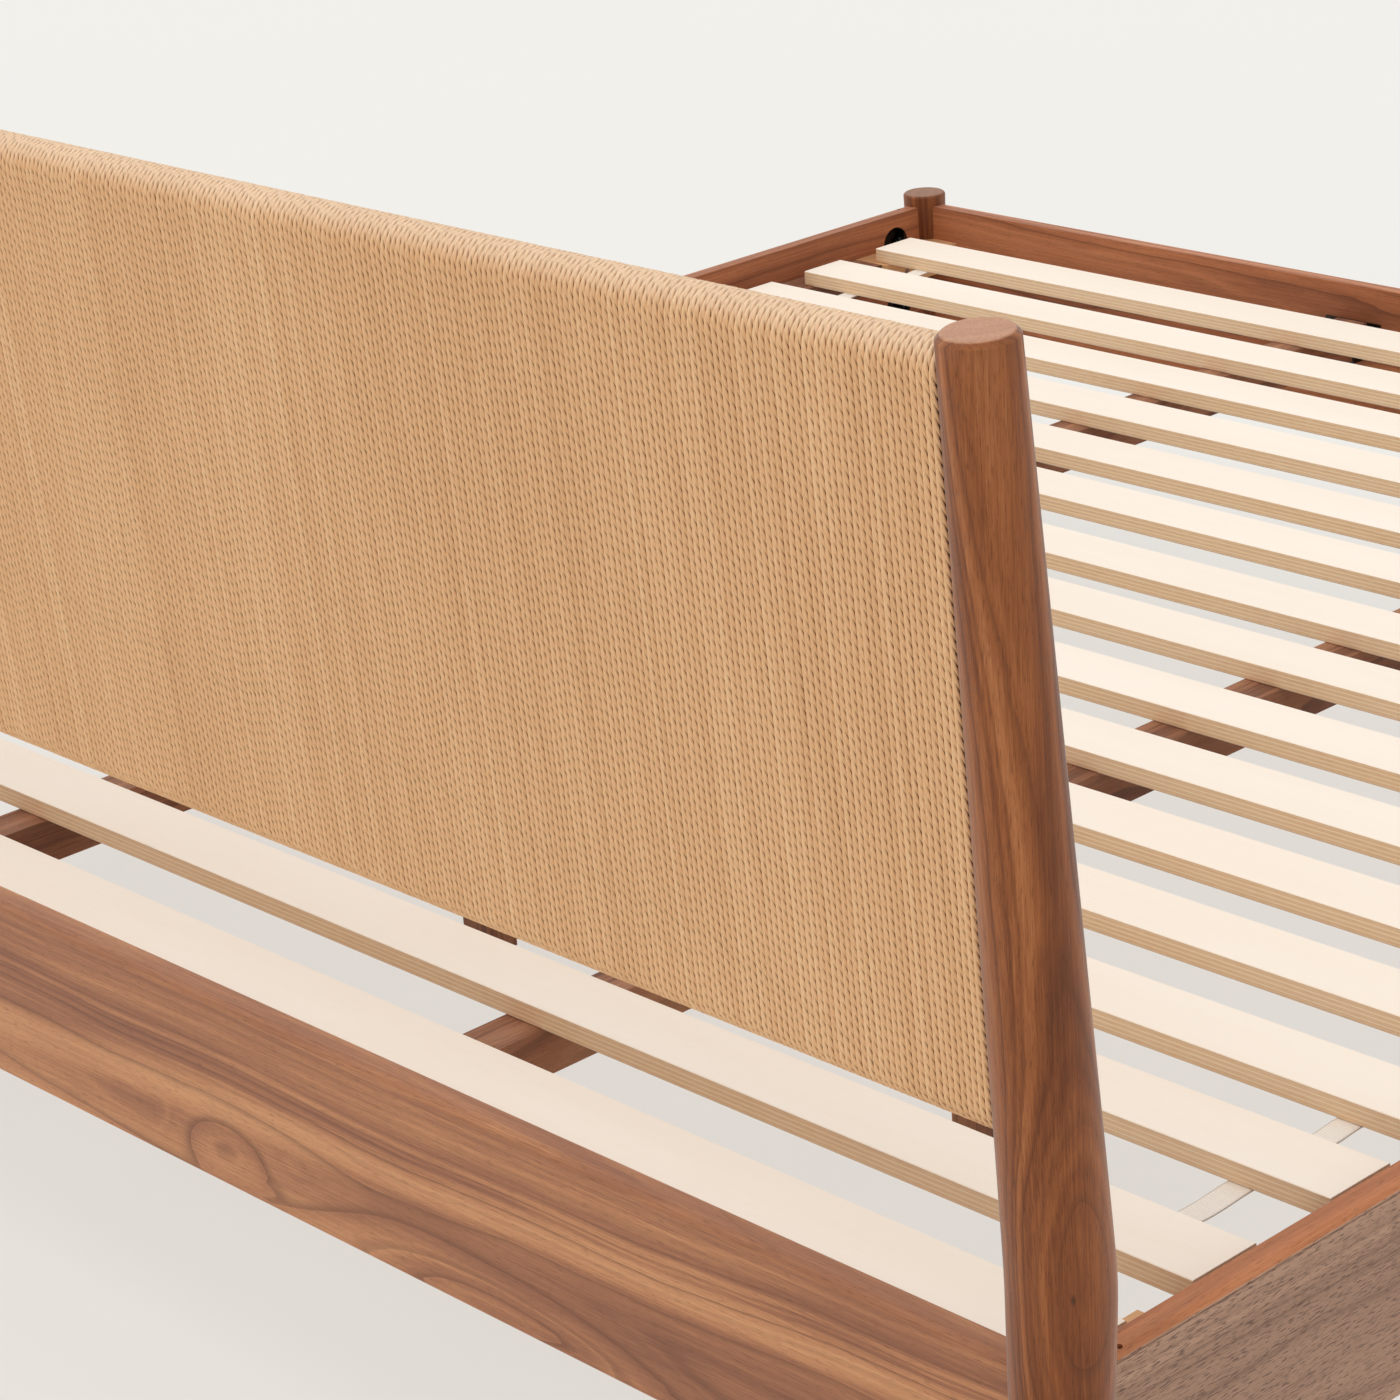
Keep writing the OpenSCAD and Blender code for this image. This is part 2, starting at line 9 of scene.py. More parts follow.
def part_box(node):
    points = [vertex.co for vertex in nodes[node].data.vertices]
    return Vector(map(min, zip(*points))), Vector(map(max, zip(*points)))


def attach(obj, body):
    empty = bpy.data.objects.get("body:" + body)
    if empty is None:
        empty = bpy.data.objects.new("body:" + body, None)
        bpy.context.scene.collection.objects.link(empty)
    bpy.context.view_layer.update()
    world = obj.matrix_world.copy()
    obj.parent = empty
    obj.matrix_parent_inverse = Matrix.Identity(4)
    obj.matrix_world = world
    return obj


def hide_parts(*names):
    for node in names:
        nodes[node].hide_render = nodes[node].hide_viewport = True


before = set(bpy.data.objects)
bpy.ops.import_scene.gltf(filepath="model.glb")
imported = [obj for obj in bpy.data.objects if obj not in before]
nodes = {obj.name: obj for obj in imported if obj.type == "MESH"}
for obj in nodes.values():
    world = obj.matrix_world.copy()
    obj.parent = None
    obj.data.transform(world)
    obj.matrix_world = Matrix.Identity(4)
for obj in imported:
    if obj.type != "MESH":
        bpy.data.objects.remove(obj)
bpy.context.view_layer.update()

# Every place here is in metres, in the bed's own frame: X across, Y to the head, Z up
bed = {
    "body": "bed_frame",
    "axisX": 1.026,  # post and leg axes
    "axisY": 1.006844,
    "railTop": 0.360,
    "railHalf": 0.011,  # half a rail's thickness
    "kinkZ": 0.422,
    "postTop": 1.029,
    "lean": math.radians(3.9),
    "kick": math.radians(2.5),
    "slatLow": 0.3175,
    "slats": 16,
    "middleY": -0.019156,
    "holeY": 0.958,  # access holes, from the middle of the frame
    "holeZ": (0.321, 0.237),
    "holeR": 0.022,
}

camera = {
    "place": (-2.4431, 2.5546, 1.6238),
    "yaw": math.radians(47.763),
    "pitch": math.radians(21.164),
    "roll": math.radians(-3.875),
    "lens": 101.6,
}


def addCamera(c):
    forward = Vector((
        math.sin(c["yaw"]) * math.cos(c["pitch"]),
        -math.cos(c["yaw"]) * math.cos(c["pitch"]),
        -math.sin(c["pitch"]),
    ))
    level = forward.cross(Vector((0, 0, 1))).normalized()
    upright = level.cross(forward)
    right = level * math.cos(c["roll"]) + upright * math.sin(c["roll"])
    up = upright * math.cos(c["roll"]) - level * math.sin(c["roll"])
    turn = Matrix((right, up, -forward)).transposed().to_4x4()
    made = bpy.data.objects.new("camera", bpy.data.cameras.new("camera"))
    made.data.sensor_width = 36
    made.data.lens = c["lens"]
    made.matrix_world = Matrix.Translation(c["place"]) @ turn
    bpy.context.collection.objects.link(made)
    bpy.context.scene.camera = made


addCamera(camera)
print("camera placed")


def paint(red, green, blue):  # a colour as seen on screen, 0 to 255
    def linear(level):
        level = level / 255
        return level / 12.92 if level <= 0.04045 else ((level + 0.055) / 1.055) ** 2.4
    return (linear(red), linear(green), linear(blue), 1.0)


# A shader socket, or a number worked out from sockets
class Wire:
    def __init__(self, tree, socket=None):
        self.tree = tree
        self.socket = socket

    def add(self, kind, settings, inputs, output=0):
        node = self.tree.nodes.new("ShaderNode" + kind)
        for key, value in settings.items():
            if key == "stops":
                spots = node.color_ramp.elements
                while len(spots) < len(value):
                    spots.new(0.5)
                for spot, (place, colour) in zip(spots, value):
                    spot.position = place
                    spot.color = colour
            else:
                setattr(node, key, value)
        for key, value in inputs.items():
            if isinstance(value, Wire):
                self.tree.links.new(value.socket, node.inputs[key])
            else:
                node.inputs[key].default_value = value
        return Wire(self.tree, node.outputs[output]) if node.outputs else None

    def math(self, operation, first, second=0.0):
        return self.add("Math", {"operation": operation}, {0: first, 1: second})

    def __add__(self, other):
        return self.math("ADD", self, other)

    def __radd__(self, other):
        return self.math("ADD", other, self)

    def __sub__(self, other):
        return self.math("SUBTRACT", self, other)

    def __rsub__(self, other):
        return self.math("SUBTRACT", other, self)

    def __mul__(self, other):
        return self.math("MULTIPLY", self, other)

    def __rmul__(self, other):
        return self.math("MULTIPLY", other, self)

    def __truediv__(self, other):
        return self.math("DIVIDE", self, other)

    def __rtruediv__(self, other):
        return self.math("DIVIDE", other, self)

    def __abs__(self):
        return self.math("ABSOLUTE", self)

    def root(self):
        return self.math("SQRT", self)

    def wave(self):
        return self.math("SINE", self)

    def fraction(self):
        return self.math("FRACT", self)

    def whole(self):
        return self.math("FLOOR", self)

    def larger(self, other):
        return self.math("MAXIMUM", self, other)

    def length(self):  # this one and the next three work on a vector
        return self.add("VectorMath", {"operation": "LENGTH"}, {0: self}, 1)

    def stretched(self, scale):
        return self.add("VectorMath", {"operation": "MULTIPLY"}, {0: self, 1: scale})

    def moved(self, offset):
        return self.add("VectorMath", {"operation": "ADD"}, {0: self, 1: offset})

    def part(self, index):
        return self.add("SeparateXYZ", {}, {0: self}, index)

    def joined(self, x, y, z):
        return self.add("CombineXYZ", {}, {0: x, 1: y, 2: z})

    def noise(self, scale, detail=2.0, rough=0.5):
        return self.add("TexNoise", {"noise_dimensions": "3D"},
                        {"Vector": self, "Scale": scale, "Detail": detail, "Roughness": rough})

    def line(self, scale, detail=2.0, rough=0.5):  # noise along one value
        return self.add("TexNoise", {"noise_dimensions": "1D"},
                        {"W": self, "Scale": scale, "Detail": detail, "Roughness": rough})

    def fade(self, low, high):  # 0 at low and 1 at high, smoothly
        return self.add("MapRange", {"interpolation_type": "SMOOTHSTEP"},
                        {"Value": self, "From Min": low, "From Max": high})

    def ramp(self, stops):
        return self.add("ValToRGB", {"stops": stops}, {"Fac": self})

    def between(self, first, second):  # colours mixed by this value
        return self.add("Mix", {"data_type": "RGBA"}, {0: self, 6: first, 7: second}, 2)


def newMaterial(name):
    made = bpy.data.materials.new(name)
    made.use_nodes = True
    made.node_tree.nodes.clear()
    return made, Wire(made.node_tree)


def place(wire):
    return wire.add("TexCoord", {}, {}, 3)


def surface(wire, colour, rough, height, depth, **fixed):
    bump = wire.add("Bump", {}, {"Height": height, "Distance": depth, "Strength": 1.0})
    inputs = {"Base Color": colour, "Roughness": rough, "Normal": bump}
    inputs.update(fixed)
    shader = wire.add("BsdfPrincipled", {}, inputs)
    wire.add("OutputMaterial", {}, {"Surface": shader})


def grainOrder(here, along):  # the third number runs along the grain
    order = {"X": (1, 2, 0), "Y": (0, 2, 1), "Z": (0, 1, 2)}[along]
    return here.joined(*[here.part(index) for index in order])


def fromSpot(here, spot):  # distance from a knot, squashed along the grain
    return here.moved([-value for value in spot["place"]]).stretched(spot["squash"]).length()


# Walnut colours run from the dark streaks to the light ones
headTone = {
    "stops": [(0.06, paint(118, 74, 53)), (0.30, paint(144, 94, 68)), (0.48, paint(165, 110, 78)),
              (0.66, paint(188, 131, 91)), (0.90, paint(208, 152, 108))],
    "year": paint(100, 60, 42),
    "pore": paint(104, 66, 48),
}
sideTone = {
    "stops": [(0.06, paint(110, 60, 36)), (0.30, paint(148, 88, 57)), (0.48, paint(170, 104, 67)),
              (0.66, paint(190, 121, 79)), (0.90, paint(206, 140, 96))],
    "year": paint(86, 46, 30),
    "pore": paint(88, 50, 34),
}
postTone = {
    "stops": [(0.06, paint(80, 40, 19)), (0.28, paint(106, 57, 28)), (0.46, paint(126, 70, 36)),
              (0.66, paint(151, 89, 48)), (0.90, paint(176, 113, 69))],
    "year": paint(70, 36, 20),
    "pore": paint(68, 37, 22),
}
stainTone = {
    "stops": [(0.06, paint(90, 53, 34)), (0.30, paint(120, 74, 50)), (0.48, paint(140, 90, 62)),
              (0.66, paint(156, 104, 74)), (0.90, paint(168, 118, 86))],
    "year": paint(76, 44, 30),
    "pore": paint(66, 40, 28),
}
veneerAndPaintedLight = {  # the greyer face of a side rail below its solid upper edge: veneer colour, greyed further as a painted reflection
    "stops": [(0.10, paint(134, 102, 83)), (0.50, paint(172, 135, 112)),
              (0.90, paint(196, 159, 134))],
    "pore": paint(84, 60, 50),
    "line": paint(92, 58, 42),
    "holeShade": paint(38, 24, 19),  # painted shade inside an access hole
    "edge": 0.3545,
}
walnutGrain = {
    "wander": 0.10,  # metres that the tree's heart strays from its line
    "ripple": 0.012,
    "years": 118,  # rings to the metre
    "gloss": 0.3,
    "sheen": 0.10,
    "sheenSpread": 0.5,
    "pores": 0.34,
    "knot": paint(58, 38, 24),
}


def walnut(name, along, seed, heart, tone, extra=None):
    extra = extra or {}
    made, wire = newMaterial(name)
    here = place(wire)
    grain = grainOrder(here, along)
    drawn = grain.moved(seed)
    slow = drawn.stretched((2.5, 2.5, 0.9)).noise(1, 2) - 0.5
    swing = drawn.moved((5, 9, 3)).stretched((2.5, 2.5, 0.9)).noise(1, 2) - 0.5
    ripple = drawn.stretched((22, 22, 5)).noise(1, 3) - 0.5
    u = grain.part(0) - heart[0] + slow * walnutGrain["wander"] + ripple * walnutGrain["ripple"]
    v = grain.part(1) - heart[1] + swing * walnutGrain["wander"]
    swirl = grain.joined(ripple * 0.02, ripple * 0.02, ripple * 0.02)
    distance = (u * u + v * v).root()
    eyed = 0.0
    for spot in extra.get("eyes", []):  # places that the rings swirl round
        near = 1 - fromSpot(here.moved(swirl), spot).fade(0.0, spot["reach"])
        distance = distance + near * spot["push"]
        eyed = near * spot["dark"] + eyed
    ring = distance + distance.line(14, 1) * 0.045
    band = ring.line(30, 3, 0.6)
    streak = ring.line(210, 2)
    cloud = drawn.stretched((11, 11, 1.6)).noise(1, 3)
    strand = drawn.stretched((420, 420, 6)).noise(1, 3)
    fibre = drawn.stretched((1000, 1000, 16)).noise(1, 3, 0.6)
    level = ((band - 0.5) * 1.35 + (streak - 0.5) * 0.40 + (strand - 0.5) * 0.30
             + (fibre - 0.5) * 0.55 + (cloud - 0.5) * 0.90 + 0.5)
    if "sideLight" in extra:  # painted light: lighter towards one side of a post
        sideLight = extra["sideLight"]
        level = level + (here.part(0) - sideLight["centre"]) * sideLight["gain"] + sideLight["lift"]
    if "belt" in extra:  # a lighter band along the board
        belt = extra["belt"]
        off = here.part(2) - (here.part(0) * belt["slope"] + belt["height"]) + slow * 0.05
        level = level + (1 - abs(off).fade(0.002, belt["reach"])) * belt["lift"]
        over = off.fade(0.005, 0.03) * belt["above"]
        level = level + here.part(0) * belt["drift"] - over + belt["base"]
    year = (ring * walnutGrain["years"]).fraction()
    late = year.fade(0.62, 0.95) * (1 - year.fade(0.965, 1.0))
    strong = (ring.line(70, 1) + eyed).fade(0.42, 0.64) * (fibre * 0.9 + 0.45)
    pores = drawn.stretched((1400, 1400, 90)).noise(1, 1).fade(0.58, 0.70)
    colour = level.ramp(tone["stops"])
    colour = (late * (strong * 0.50 + 0.08)).between(colour, tone["year"])
    colour = (pores * walnutGrain["pores"]).between(colour, tone["pore"])
    height = fibre * 0.5 - pores * 0.6
    if "face" in extra:  # an outer face of veneer, greyed further as a painted reflection, and painted shade inside the access holes
        out = abs(here.part(0)) - bed["axisX"]
        face = out.fade(bed["railHalf"] - 0.0009, bed["railHalf"] - 0.0005)
        # veneer colour, greyed further as a painted reflection
        grey = ((level - 0.5) * 0.8 + 0.5).ramp(veneerAndPaintedLight["stops"])
        deep = drawn.stretched((1250, 1250, 120)).noise(1, 1).fade(0.56, 0.64)
        grey = (late * strong * 0.5).between(grey, veneerAndPaintedLight["line"])
        grey = (deep * 0.75).between(grey, veneerAndPaintedLight["pore"])
        colour = face.between(colour, grey)
        # painted shade: a thin dark line where the solid upper edge meets the face
        shadeLine = 1 - abs(here.part(2) - veneerAndPaintedLight["edge"]).fade(0.0003, 0.0011)
        colour = (shadeLine * out.fade(0.009, 0.010) * 0.6).between(colour, veneerAndPaintedLight["line"])
        # painted shade: each access hole is darkened inside
        y = abs(here.part(1) - bed["middleY"]) - bed["holeY"]
        for z in bed["holeZ"]:
            dz = here.part(2) - z
            across = (y * y + dz * dz).root()
            inside = 1 - across.fade(bed["holeR"] + 0.0001, bed["holeR"] + 0.0004)
            deeper = out.fade(-bed["railHalf"] + 0.0003, -bed["railHalf"] + 0.0012)
            holeShade = inside * deeper * (1 - out.fade(0.007, 0.008))
            colour = holeShade.between(colour, veneerAndPaintedLight["holeShade"])
    if "crown" in extra:  # end grain on a turned top, painted lighter as a top lit from above
        tilt, top = extra["crown"]
        up = here.part(2) * math.cos(tilt) + here.part(1) * math.sin(tilt)
        crown = up.fade(top - 0.0012, top - 0.0002)
        dots = drawn.stretched((1100, 1100, 60)).noise(1, 1).fade(0.56, 0.66)
        ends = (level * 0.6 + 0.25).ramp(extra["litEndStops"])
        ends = (dots * 0.45).between(ends, tone["stops"][1][1])
        colour = crown.between(colour, ends)
    for spot in extra.get("eyes", []):
        if "knot" in spot:
            pith = 1 - fromSpot(here, spot).fade(0.0008, spot["knot"])
            colour = (pith * 0.85).between(colour, walnutGrain["knot"])
    surface(wire, colour, 0.44 + fibre * 0.14 + pores * 0.16, height, 0.00016,
            **{"IOR": 1.42, "Specular IOR Level": walnutGrain["gloss"],
               "Sheen Weight": extra.get("sheen", walnutGrain["sheen"]),
               "Sheen Roughness": extra.get("sheenSpread", walnutGrain["sheenSpread"])})
    return made


birchTone = {
    "face": [(0.30, paint(250, 236, 220)), (0.55, paint(253, 242, 229)),
             (0.80, paint(255, 246, 235))],
    "light": [(0.25, paint(246, 216, 178)), (0.50, paint(252, 226, 192)),
              (0.75, paint(254, 234, 204))],
    "dark": [(0.25, paint(232, 194, 150)), (0.50, paint(242, 208, 168)),
             (0.75, paint(248, 220, 184))],
    "glue": paint(158, 112, 72),
    "plies": 9,
    "thick": 0.0175,
}


def birch(name, along, seed, low):
    made, wire = newMaterial(name)
    here = place(wire)
    drawn = grainOrder(here, along).moved(seed)
    depth = (here.part(2) - low) / birchTone["thick"]  # 0 at the underside, 1 on top
    fibre = drawn.stretched((900, 900, 12)).noise(1, 3, 0.6)
    cloud = drawn.stretched((14, 14, 2.2)).noise(1, 3)
    board = here.part(1).line(9.0, 0)  # each slat a little different
    flake = drawn.stretched((420, 420, 40)).noise(1, 1).fade(0.62, 0.74)
    tone = fibre * 0.30 + cloud * 0.55 + board * 0.30 - 0.08
    face = (flake * 0.10).between(tone.ramp(birchTone["face"]), birchTone["light"][1][1])
    ply = depth * birchTone["plies"] + (cloud - 0.5) * 0.12
    seam = abs(ply.fraction() - 0.5).fade(0.38, 0.47)
    layer = ply.whole()
    crossed = (layer * 0.5).fraction().fade(0.2, 0.4)
    grit = drawn.stretched((700, 700, 90)).noise(1, 2)
    worn = drawn.stretched((60, 60, 4)).noise(1, 2)
    shade = grit * 0.6 + worn * 0.6 - 0.1
    edge = crossed.between(shade.ramp(birchTone["light"]), shade.ramp(birchTone["dark"]))
    missing = (layer.line(3.1, 0) * 0.4 + worn * 0.6).fade(0.50, 0.62)
    edge = (seam * (0.08 + missing * 0.50)).between(edge, birchTone["glue"])
    rim = 1 - abs(abs(depth - 0.5) - 0.44).fade(0.010, 0.024)
    edge = (rim * 0.45).between(edge, birchTone["glue"])
    skin = abs(depth - 0.5).fade(0.458, 0.474)
    colour = skin.between(edge, face)
    height = fibre * 0.5 - (1 - skin) * seam * 0.6
    surface(wire, colour, 0.52 + fibre * 0.16, height, 0.00012, **{"Specular IOR Level": 0.4})
    return made


blockStops = [(0.30, paint(196, 144, 98)), (0.55, paint(216, 166, 118)),
              (0.80, paint(228, 182, 136))]
# painted shade: the dark colour of the layer behind the cords
layerShadeStops = [(0.20, paint(110, 74, 44)), (0.50, paint(126, 86, 52)), (0.80, paint(138, 96, 60))]


def plainWood(name, along, seed, stops):
    made, wire = newMaterial(name)
    drawn = grainOrder(place(wire), along).moved(seed)
    fibre = drawn.stretched((800, 800, 18)).noise(1, 3, 0.6)
    cloud = drawn.stretched((30, 30, 5)).noise(1, 3)
    colour = (fibre * 0.45 + cloud * 0.55).ramp(stops)
    surface(wire, colour, 0.50 + fibre * 0.2, fibre, 0.00012)
    return made


cordTone = {
    "stops": [(0.20, paint(212, 164, 118)), (0.45, paint(230, 184, 137)),
              (0.70, paint(245, 206, 161))],
    "side": paint(192, 142, 95),  # painted shade where two cords meet
    # painted shade in the grooves between plies
    "slitShade": paint(84, 42, 16),
    "rollHighlight": paint(255, 238, 216),
    "rollHighlightZ": (1.006, 1.022),
}


def paperCord(name):
    made, wire = newMaterial(name)
    lay = wire.add("Attribute", {"attribute_name": "lay"}, {}, 1)  # turn, length, cord
    groove = wire.add("Attribute", {"attribute_name": "groove"}, {}, 2)
    edge = wire.add("Attribute", {"attribute_name": "edge"}, {}, 2)
    crease = lay.stretched((2.6, 130, 3.7)).noise(1, 3, 0.65)
    speck = place(wire).noise(900, 2)
    cloud = place(wire).stretched((9, 3, 3)).noise(1, 2)
    strand = lay.part(2).line(1.37, 0)
    tone = crease * 0.50 + speck * 0.16 + cloud * 0.20 + strand * 0.24 - 0.08
    colour = tone.ramp(cordTone["stops"])
    # painted shade: each cord darkens towards its sides, where it meets the next
    colour = (edge.fade(0.35, 1.0) * 0.70).between(colour, cordTone["side"])
    rollHighlight = place(wire).part(2).fade(*cordTone["rollHighlightZ"])  # painted highlight on the top roll
    colour = (rollHighlight * 0.42).between(colour, cordTone["rollHighlight"])
    # painted shade in the grooves between plies, darkest at a cord's sides
    slitShade = (groove * (edge * 0.95 + 0.54)).fade(0.38, 0.92) * (1 - rollHighlight * 0.6)
    colour = (slitShade * (crease * 0.5 + 0.52)).between(colour, cordTone["slitShade"])
    surface(wire, colour, 0.66 + crease * 0.2, crease * 0.7 + speck * 0.3, 0.00030,
            **{"Specular IOR Level": 0.25, "Sheen Weight": 0.06, "Sheen Roughness": 0.5})
    return made


webTone = {
    "yarn": paint(254, 250, 244),
    "gap": paint(234, 226, 216),
    "edge": paint(178, 156, 134),
    "ribs": 2513,  # radians of rib to the metre
    "warps": 60,
}


def webbing(name):
    made, wire = newMaterial(name)
    here = place(wire)
    across = wire.add("Attribute", {"attribute_name": "across"}, {}, 2)  # -1 to 1
    rib = (here.part(1) * webTone["ribs"] + abs(across) * 6).wave()
    warp = (across * webTone["warps"]).wave()
    weave = (rib * 0.5 + 0.5) * (0.6 + warp * 0.2)
    fuzz = here.noise(1400, 2)
    colour = (weave * 0.8 + fuzz * 0.3).between(webTone["gap"], webTone["yarn"])
    colour = (abs(across).fade(0.90, 0.97) * 0.6).between(colour, webTone["edge"])
    surface(wire, colour, 0.72 + fuzz * 0.16, weave + fuzz * 0.3, 0.00030)
    return made


zincStops = [(0.30, paint(150, 150, 152)), (0.55, paint(186, 187, 190)),
             (0.80, paint(206, 206, 208))]
blackStops = [(0.30, paint(44, 42, 41)), (0.55, paint(62, 60, 58)), (0.80, paint(88, 85, 82))]


def steel(name, stops):
    made, wire = newMaterial(name)
    here = place(wire)
    cloud = here.noise(160, 3)
    grit = here.noise(2400, 2)
    colour = (cloud * 0.7 + grit * 0.3).ramp(stops)
    surface(wire, colour, 0.30 + cloud * 0.18, grit, 0.00003, Metallic=1.0)
    return made


plasticStops = [(0.20, paint(26, 26, 27)), (0.60, paint(40, 40, 41)), (0.90, paint(66, 65, 64))]


def blackPlastic(name):
    made, wire = newMaterial(name)
    here = place(wire)
    pebble = here.noise(1800, 2)
    scuff = here.noise(120, 3).fade(0.55, 0.75)
    colour = (pebble * 0.5 + scuff * 0.4).ramp(plasticStops)
    surface(wire, colour, 0.48 + scuff * 0.2, pebble, 0.00008)
    return made


# The heart is where the middle of the tree would lie, across the grain
postCrown = bed["postTop"] * math.cos(bed["lean"]) + math.sin(bed["lean"]) * (
    bed["axisY"] + (bed["postTop"] - bed["kinkZ"]) * math.tan(bed["lean"]))
# end grain tops, painted lighter than the sides as tops lit from above
postEndsLit = [(0.10, paint(150, 98, 70)), (0.50, paint(190, 136, 104)),
            (0.90, paint(210, 160, 126))]
legEndsLit = [(0.10, paint(112, 74, 54)), (0.50, paint(146, 102, 78)), (0.90, paint(170, 124, 98))]
leftPost = {
    "crown": (bed["lean"], postCrown),
    "litEndStops": postEndsLit,
    "sheen": 0.36,
    "sheenSpread": 0.36,
    "sideLight": {"centre": -bed["axisX"], "gain": 4.0, "lift": 0.10},  # painted light, towards the bed's middle
    "eyes": [{"place": (-1.0548, 1.0274, 0.4298), "squash": (1, 1, 0.4), "reach": 0.068,
              "push": 0.024, "dark": 0.05, "knot": 0.0026}],
}
rightPost = {"crown": (bed["lean"], postCrown), "litEndStops": postEndsLit, "sheen": 0.12}
leg = {"crown": (0.0, bed["railTop"] + 0.014), "litEndStops": legEndsLit}
headFigure = {
    "eyes": [{"place": (-0.176, 1.0178, 0.232), "squash": (0.36, 1, 1), "reach": 0.036,
              "push": 0.022, "dark": 0.16},
             {"place": (-0.50, 1.0178, 0.216), "squash": (0.16, 1, 1), "reach": 0.050,
              "push": 0.030, "dark": 0.12}],
    "belt": {"height": 0.2655, "slope": -0.05, "reach": 0.024, "lift": 0.24, "drift": 0.12,
             "above": 0.14, "base": 0.05},
}
sideRail = {"face": True}
woods = {
    "head_rail": walnut("walnut_head_rail", "X", (0.31, 0.12, 0.77), (0.972, 0.242),
                        headTone, headFigure),
    "foot_rail": walnut("walnut_foot_rail", "X", (2.31, 0.42, 1.77), (-0.95, 0.300), sideTone),
    "side_rail_left": walnut("walnut_left_rail", "Y", (1.13, 3.12, 0.27), (-0.98, 0.255),
                             sideTone, sideRail),
    "side_rail_right": walnut("walnut_right_rail", "Y", (4.13, 1.12, 2.27), (0.96, 0.290),
                              sideTone, sideRail),
    "foot_leg_left": walnut("walnut_left_leg", "Z", (0.93, 1.21, 0.3), (-0.95, -1.08),
                            postTone, leg),
    "foot_leg_right": walnut("walnut_right_leg", "Z", (1.73, 2.21, 0.9), (0.96, -1.09),
                             postTone, leg),
}
postWood = {
    -1: walnut("walnut_left_post", "Z", (2.07, 0.64, 0.15), (-0.965, 0.985),
               postTone, leftPost),
    1: walnut("walnut_right_post", "Z", (5.41, 2.33, 0.55), (0.955, 1.06),
              postTone, rightPost),
}
stainAlong = walnut("stained_along", "Y", (3.3, 1.7, 0.2), (0.1, 0.24), stainTone)
stainUp = walnut("stained_upright", "Z", (1.3, 2.7, 0.6), (0.1, 0.1), stainTone)
stainAcross = walnut("stained_across", "X", (0.7, 1.2, 0.9), (0.9, 0.5), stainTone)
for name, wood in woods.items():
    nodes[name].data.materials.clear()
    nodes[name].data.materials.append(wood)
blockWood = plainWood("block_wood", "Y", (0.4, 0.9, 0.1), blockStops)
dowelWood = plainWood("dowel_wood", "X", (1.4, 0.3, 0.7), blockStops)
slatWood = birch("birch_slats", "X", (0.2, 0.6, 0.4), bed["slatLow"])
zinc = steel("zinc_steel", zincStops)
blackSteel = steel("black_steel", blackStops)
plastic = blackPlastic("black_plastic")

plainNodes = {
    stainAlong: ["bearer_left", "bearer_right", "centre_beam_left", "centre_beam_right"],
    stainUp: ["support_leg_head_left", "support_leg_head_right", "support_leg_foot_left",
              "support_leg_foot_right", "headboard_stiles"],
    stainAcross: ["headboard_top_rail", "headboard_bottom_rail"],
    blockWood: ["corner_blocks_head", "corner_blocks_foot"],
    dowelWood: ["rail_dowels", "headboard_dowels"],
    slatWood: ["slat_%02d" % (i + 1) for i in range(bed["slats"])],
    zinc: ["threaded_inserts", "strap_staples", "bearer_screws", "support_bolts"],
    blackSteel: ["beam_hangers", "hanger_screws", "corner_bolts", "corner_washers", "corner_nuts",
                 "lock_screws"],
    plastic: ["leg_glides", "levelling_foot_head_left", "levelling_foot_head_right",
              "levelling_foot_foot_left", "levelling_foot_foot_right"],
}
for finish, names in plainNodes.items():
    for name in names:
        nodes[name].data.materials.clear()
        nodes[name].data.materials.append(finish)
print("finishes on", len(woods) + sum(len(names) for names in plainNodes.values()), "nodes")


def addPiece(name, points, faces, finish, replaced):
    mesh = bpy.data.meshes.new(name)
    points = np.asarray(points, np.float32)
    faces = np.asarray(faces, np.int32)
    mesh.vertices.add(len(points))
    mesh.vertices.foreach_set("co", points.ravel())
    mesh.loops.add(faces.size)
    mesh.loops.foreach_set("vertex_index", faces.ravel())
    mesh.polygons.add(len(faces))
    starts = np.arange(len(faces), dtype=np.int32) * faces.shape[1]
    mesh.polygons.foreach_set("loop_start", starts)
    mesh.update(calc_edges=True)
    mesh.validate()
    mesh.shade_smooth()
    mesh.materials.append(finish)
    piece = bpy.data.objects.new(name, mesh)
    bpy.context.collection.objects.link(piece)
    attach(piece, bed["body"])
    if replaced:
        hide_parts(*replaced)
    return piece


def gridFaces(rows, columns, closedRows, closedColumns):
    r = np.arange(rows if closedRows else rows - 1)
    c = np.arange(columns if closedColumns else columns - 1)
    r, c = np.meshgrid(r, c, indexing="ij")
    r, c = r.ravel(), c.ravel()
    rNext, cNext = (r + 1) % rows, (c + 1) % columns
    return np.stack([r * columns + c, r * columns + cNext,
                     rNext * columns + cNext, rNext * columns + c], 1)


def capEnds(piece, rows, columns):
    mesh = bmesh.new()
    mesh.from_mesh(piece.data)
    mesh.verts.ensure_lookup_table()
    mesh.faces.new([mesh.verts[i] for i in reversed(range(columns))])
    mesh.faces.new([mesh.verts[(rows - 1) * columns + i] for i in range(columns)]).smooth = True
    bmesh.ops.recalc_face_normals(mesh, faces=mesh.faces)
    mesh.to_mesh(piece.data)
    mesh.free()


# Head posts: turned, tapered both ways from a soft kink
post = {
    "kinkR": 0.0345,
    "topR": 0.02425,
    "footR": 0.0245,
    "footZ": 0.004,
    "upper": (bed["postTop"] - bed["kinkZ"]) / math.cos(bed["lean"]),
    "rim": 0.004,
    "softness": 0.030,  # length over which the kink is eased
    "within": 0.0003,  # how far it stays inside the solid
    "sides": 96,
}


